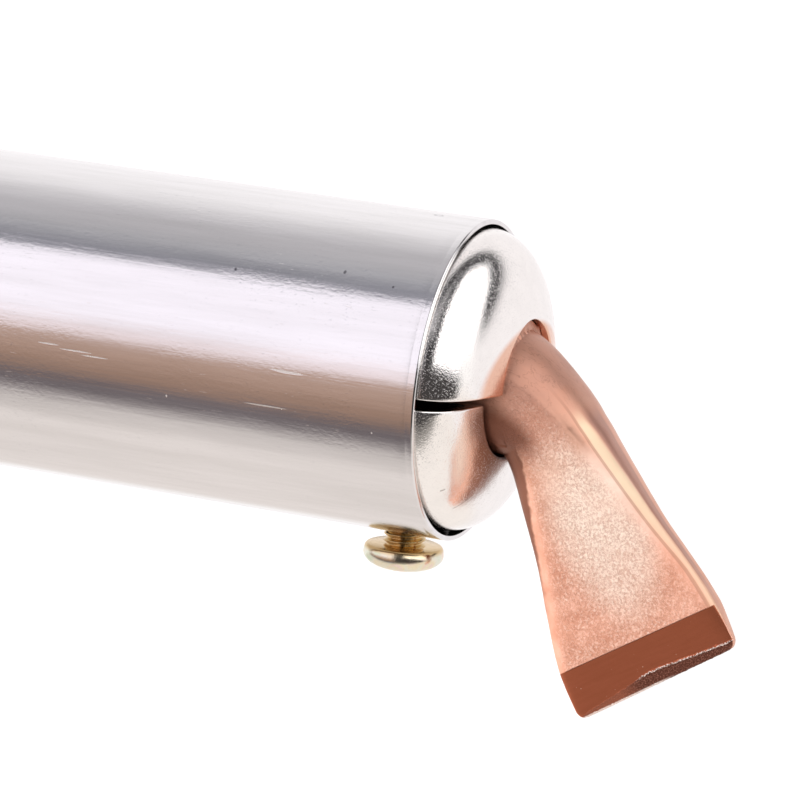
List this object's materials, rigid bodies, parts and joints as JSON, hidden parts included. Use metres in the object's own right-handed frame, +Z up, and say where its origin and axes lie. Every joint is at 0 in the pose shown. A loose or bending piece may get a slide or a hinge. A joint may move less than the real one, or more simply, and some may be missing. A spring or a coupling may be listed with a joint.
{
  "type": "electric soldering iron",
  "caption": "Heavy electric soldering iron lying on its side: bent copper bit clamped between domed nose jaws of a steel barrel, with a turned wooden handle.",
  "frame": {"origin": "centre of the bounding box in X and Y, on the surface the iron lies on (Z = 0)", "axes": "+X along the barrel towards the copper bit; +Z up from the bench; +Y to the side the blade bends away from. The clamp screw points towards -Y and a little down."},
  "size_m": [0.3586, 0.052, 0.0397],
  "materials": {
    "barrel_steel": "drawn bright steel, fine lengthwise grain",
    "nickel_plate": "bright nickel plate, slightly grained",
    "copper": "forged copper, granular with a smooth ground bevel",
    "yellow_zinc": "yellow zinc plate with a rainbow tint",
    "satin_steel": "satin steel tube",
    "screw_steel": "plain zinc-plated steel",
    "inner_steel": "pressed steel",
    "scaled_steel": "heat-tinted steel",
    "resistance_wire": "oxidised resistance wire",
    "mica": "layered mica",
    "ceramic": "glazed steatite",
    "brass": "machined brass",
    "turned_wood": "turned beech, varnished",
    "black_bakelite": "moulded black phenolic",
    "black_rubber": "matt rubber",
    "brown_fibre": "vulcanised fibre"
  },
  "bodies": {
    "iron": {"barrel": "barrel_steel", "clamp_nut_plate": "inner_steel", "front_spacer_ring": "inner_steel", "rear_spacer_ring": "inner_steel", "heater_sleeve": "scaled_steel", "mica_inner_sleeve": "mica", "heater_winding": "resistance_wire", "mica_outer_sleeve": "mica", "heater_jacket": "scaled_steel", "heater_leads": "resistance_wire", "ceramic_beads": "ceramic", "barrel_rear_cap": "nickel_plate", "rear_cap_screws": "screw_steel", "neck_tube": "satin_steel", "neck_rivets": "screw_steel", "handle_ferrule": "nickel_plate", "ferrule_screws": "screw_steel", "wooden_handle": "turned_wood", "terminal_bracket": "inner_steel", "bracket_rivet": "inner_steel", "earth_screw": "brass", "terminal_block": "ceramic", "terminal_sleeves": "brass", "terminal_screws": "brass", "block_screw": "inner_steel", "handle_end_cap": "black_bakelite", "end_cap_screws": "screw_steel", "cord_bush": "black_rubber", "cord_clamp_bar": "brown_fibre", "cord_clamp_screws": "inner_steel"},
    "upper_jaw": {"nose_upper_jaw": "nickel_plate"},
    "bit": {"soldering_bit": "copper"},
    "lower_jaw": {"nose_lower_jaw": "nickel_plate"},
    "screw": {"clamp_screw": "yellow_zinc"}
  },
  "joints": [
    {"name": "nose_draw", "type": "slide", "parent": "iron", "child": "upper_jaw", "axis": [1, 0, 0], "range_m": [0, 0.095]},
    {"name": "bit_turn", "type": "hinge", "parent": "upper_jaw", "child": "bit", "pos_m": [0.14467, 0.00697, 0.019], "axis": [1, 0, 0], "range_deg": [-38, 38]},
    {"name": "jaw_lift", "type": "slide", "parent": "iron", "child": "lower_jaw", "axis": [0, 0.8684, 0.4959], "range_m": [-0.0004, 0]},
    {"name": "clamp_screw_turn", "type": "hinge", "parent": "lower_jaw", "child": "screw", "pos_m": [0.13777, 0.00697, 0.019], "axis": [0, 0.8684, 0.4959], "range_deg": [-180, 0]}
  ],
  "couplings": [
    {"joint": "clamp_screw_turn", "follows": "jaw_lift", "rad_per_m": 7853}
  ]
}
